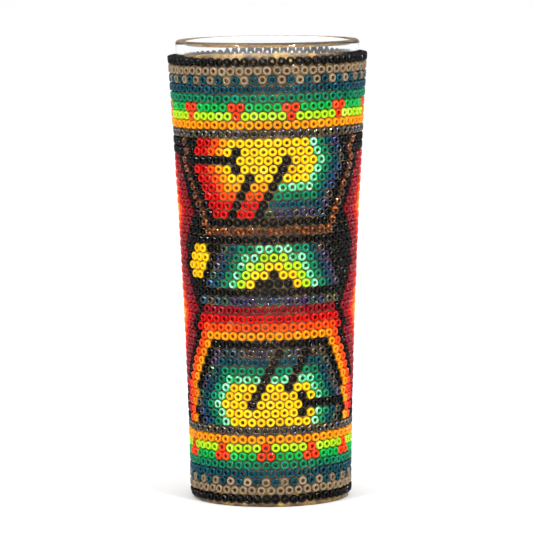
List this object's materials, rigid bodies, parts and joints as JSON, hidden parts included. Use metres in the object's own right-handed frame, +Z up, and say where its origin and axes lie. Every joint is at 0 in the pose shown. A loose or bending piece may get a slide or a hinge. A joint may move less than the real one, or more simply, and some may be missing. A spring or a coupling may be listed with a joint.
{
  "type": "beaded tequila glass",
  "caption": "Tall tapered clear glass for spirits, its outside wall coated with wax and closely set with rings of small glass seed beads in a geometric pattern.",
  "frame": {"origin": "centre of the foot, on the surface that the glass stands on", "axes": "+Z up along the axis of the glass, -Y towards the middle of the front picture, +X to its right"},
  "size_m": [0.0452, 0.0452, 0.104],
  "materials": {
    "clear_glass": "gloss",
    "wax": "satin",
    "bead_black": "gloss",
    "bead_tan": "gloss",
    "bead_navy": "gloss",
    "bead_teal": "gloss",
    "bead_green": "gloss",
    "bead_coral": "gloss",
    "bead_lime": "gloss",
    "bead_amber": "gloss",
    "bead_bronze": "gloss",
    "bead_brown": "gloss",
    "bead_red": "gloss",
    "bead_garnet": "gloss",
    "bead_orange": "gloss",
    "bead_yellow": "gloss",
    "bead_mint": "gloss",
    "bead_iris": "gloss"
  },
  "bodies": {
    "root": {"glass_tumbler": "clear_glass", "wax_coat": "wax", "top_border_black": "bead_black", "top_border_tan": "bead_tan", "top_border_navy": "bead_navy", "top_border_teal": "bead_teal", "top_border_green": "bead_green", "top_border_coral": "bead_coral", "top_border_lime": "bead_lime", "top_border_amber": "bead_amber", "top_border_bronze": "bead_bronze", "upper_panel_brown": "bead_brown", "upper_panel_black": "bead_black", "upper_panel_red": "bead_red", "upper_panel_orange": "bead_orange", "upper_panel_amber": "bead_amber", "upper_panel_yellow": "bead_yellow", "upper_panel_mint": "bead_mint", "upper_panel_teal": "bead_teal", "upper_panel_navy": "bead_navy", "upper_panel_iris": "bead_iris", "arch_black": "bead_black", "arch_yellow": "bead_yellow", "arch_lime": "bead_lime", "arch_mint": "bead_mint", "arch_teal": "bead_teal", "arch_navy": "bead_navy", "arch_iris": "bead_iris", "dot_yellow": "bead_yellow", "line_iris": "bead_iris", "roof_garnet": "bead_garnet", "roof_red": "bead_red", "roof_orange": "bead_orange", "roof_amber": "bead_amber", "lower_panel_black": "bead_black", "lower_panel_iris": "bead_iris", "lower_panel_navy": "bead_navy", "lower_panel_teal": "bead_teal", "lower_panel_mint": "bead_mint", "lower_panel_yellow": "bead_yellow", "side_garnet": "bead_garnet", "side_red": "bead_red", "side_orange": "bead_orange", "side_amber": "bead_amber", "field_black_upper": "bead_black", "field_black_lower": "bead_black", "bottom_border_black": "bead_black", "bottom_border_tan": "bead_tan", "bottom_border_navy": "bead_navy", "bottom_border_teal": "bead_teal", "bottom_border_green": "bead_green", "bottom_border_coral": "bead_coral", "bottom_border_lime": "bead_lime", "bottom_border_amber": "bead_amber", "bottom_border_bronze": "bead_bronze"}
  },
  "joints": []
}
